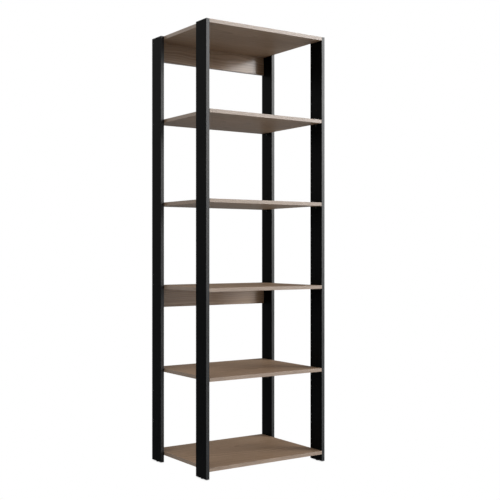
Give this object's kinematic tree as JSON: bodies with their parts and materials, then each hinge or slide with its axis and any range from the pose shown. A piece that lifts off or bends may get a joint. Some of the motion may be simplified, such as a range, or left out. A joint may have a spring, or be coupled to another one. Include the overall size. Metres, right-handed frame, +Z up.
{
  "type": "bookcase with adjustable shelves",
  "caption": "Tall open-sided bookcase: flat black uprights at the corners, wood-look shelves, some lying loose on pins, and low back rails.",
  "frame": {"origin": "on the floor, under the middle of the bookcase", "axes": "+X to the right seen from the front, +Y to the back (wall side), +Z up"},
  "size_m": [0.6, 0.45, 1.833],
  "materials": {
    "black_board": "matte black melamine on chipboard",
    "black_edge_tape": "satin black plastic edge tape",
    "wood_board": "grey-brown oak print melamine, satin",
    "wood_edge_tape": "satin plastic edge tape with the same print",
    "zinc": "die-cast zinc, as cast",
    "steel": "zinc-plated steel",
    "beech": "plain beech",
    "cover_cap": "moulded, coloured to match the board",
    "black_plastic": "moulded black plastic"
  },
  "bodies": {
    "frame": {"back_rail_cam_bolts": "steel", "back_rail_cam_locks": "zinc", "back_rail_dowels": "beech", "bottom_shelf": "wood_board", "bottom_shelf_cam_bolts": "steel", "bottom_shelf_cam_caps": "cover_cap", "bottom_shelf_cam_locks": "zinc", "bottom_shelf_dowels": "beech", "bottom_shelf_edge_tape": "wood_edge_tape", "fourth_shelf": "wood_board", "fourth_shelf_cam_bolts": "steel", "fourth_shelf_cam_caps": "cover_cap", "fourth_shelf_cam_locks": "zinc", "fourth_shelf_dowels": "beech", "fourth_shelf_edge_tape": "wood_edge_tape", "front_left_upright": "black_board", "front_left_upright_edge_tape": "black_edge_tape", "front_right_upright": "black_board", "front_right_upright_edge_tape": "black_edge_tape", "glide_nails": "steel", "glides": "black_plastic", "middle_back_rail": "wood_board", "middle_back_rail_edge_tape": "wood_edge_tape", "rear_left_upright": "black_board", "rear_left_upright_edge_tape": "black_edge_tape", "rear_right_upright": "black_board", "rear_right_upright_edge_tape": "black_edge_tape", "top_back_rail": "wood_board", "top_back_rail_edge_tape": "wood_edge_tape", "top_shelf": "wood_board", "top_shelf_cam_bolts": "steel", "top_shelf_cam_caps": "cover_cap", "top_shelf_cam_locks": "zinc", "top_shelf_dowels": "beech", "top_shelf_edge_tape": "wood_edge_tape"},
    "second_shelf": {"second_shelf": "wood_board", "second_shelf_edge_tape": "wood_edge_tape"},
    "third_shelf": {"third_shelf": "wood_board", "third_shelf_edge_tape": "wood_edge_tape"},
    "fifth_shelf": {"fifth_shelf": "wood_board", "fifth_shelf_edge_tape": "wood_edge_tape"},
    "fifth_shelf_pin_front_left": {"fifth_shelf_pin_front_left": "black_plastic"},
    "fifth_shelf_pin_front_right": {"fifth_shelf_pin_front_right": "black_plastic"},
    "fifth_shelf_pin_rear_left": {"fifth_shelf_pin_rear_left": "black_plastic"},
    "fifth_shelf_pin_rear_right": {"fifth_shelf_pin_rear_right": "black_plastic"},
    "second_shelf_pin_front_left": {"second_shelf_pin_front_left": "black_plastic"},
    "second_shelf_pin_front_right": {"second_shelf_pin_front_right": "black_plastic"},
    "second_shelf_pin_rear_left": {"second_shelf_pin_rear_left": "black_plastic"},
    "second_shelf_pin_rear_right": {"second_shelf_pin_rear_right": "black_plastic"},
    "third_shelf_pin_front_left": {"third_shelf_pin_front_left": "black_plastic"},
    "third_shelf_pin_front_right": {"third_shelf_pin_front_right": "black_plastic"},
    "third_shelf_pin_rear_left": {"third_shelf_pin_rear_left": "black_plastic"},
    "third_shelf_pin_rear_right": {"third_shelf_pin_rear_right": "black_plastic"}
  },
  "joints": [
    {"name": "second_shelf_lift", "type": "slide", "parent": "frame", "child": "second_shelf", "axis": [0, 0, 1], "range_m": [0, 0.25]},
    {"name": "third_shelf_lift", "type": "slide", "parent": "frame", "child": "third_shelf", "axis": [0, 0, 1], "range_m": [0, 0.32]},
    {"name": "fifth_shelf_lift", "type": "slide", "parent": "frame", "child": "fifth_shelf", "axis": [0, 0, 1], "range_m": [0, 0.25]},
    {"name": "fifth_shelf_pin_front_left_pull", "type": "slide", "parent": "frame", "child": "fifth_shelf_pin_front_left", "axis": [1, 0, 0], "range_m": [0, 0.01]},
    {"name": "fifth_shelf_pin_front_right_pull", "type": "slide", "parent": "frame", "child": "fifth_shelf_pin_front_right", "axis": [-1, 0, 0], "range_m": [0, 0.01]},
    {"name": "fifth_shelf_pin_rear_left_pull", "type": "slide", "parent": "frame", "child": "fifth_shelf_pin_rear_left", "axis": [1, 0, 0], "range_m": [0, 0.01]},
    {"name": "fifth_shelf_pin_rear_right_pull", "type": "slide", "parent": "frame", "child": "fifth_shelf_pin_rear_right", "axis": [-1, 0, 0], "range_m": [0, 0.01]},
    {"name": "second_shelf_pin_front_left_pull", "type": "slide", "parent": "frame", "child": "second_shelf_pin_front_left", "axis": [1, 0, 0], "range_m": [0, 0.01]},
    {"name": "second_shelf_pin_front_right_pull", "type": "slide", "parent": "frame", "child": "second_shelf_pin_front_right", "axis": [-1, 0, 0], "range_m": [0, 0.01]},
    {"name": "second_shelf_pin_rear_left_pull", "type": "slide", "parent": "frame", "child": "second_shelf_pin_rear_left", "axis": [1, 0, 0], "range_m": [0, 0.01]},
    {"name": "second_shelf_pin_rear_right_pull", "type": "slide", "parent": "frame", "child": "second_shelf_pin_rear_right", "axis": [-1, 0, 0], "range_m": [0, 0.01]},
    {"name": "third_shelf_pin_front_left_pull", "type": "slide", "parent": "frame", "child": "third_shelf_pin_front_left", "axis": [1, 0, 0], "range_m": [0, 0.01]},
    {"name": "third_shelf_pin_front_right_pull", "type": "slide", "parent": "frame", "child": "third_shelf_pin_front_right", "axis": [-1, 0, 0], "range_m": [0, 0.01]},
    {"name": "third_shelf_pin_rear_left_pull", "type": "slide", "parent": "frame", "child": "third_shelf_pin_rear_left", "axis": [1, 0, 0], "range_m": [0, 0.01]},
    {"name": "third_shelf_pin_rear_right_pull", "type": "slide", "parent": "frame", "child": "third_shelf_pin_rear_right", "axis": [-1, 0, 0], "range_m": [0, 0.01]}
  ]
}
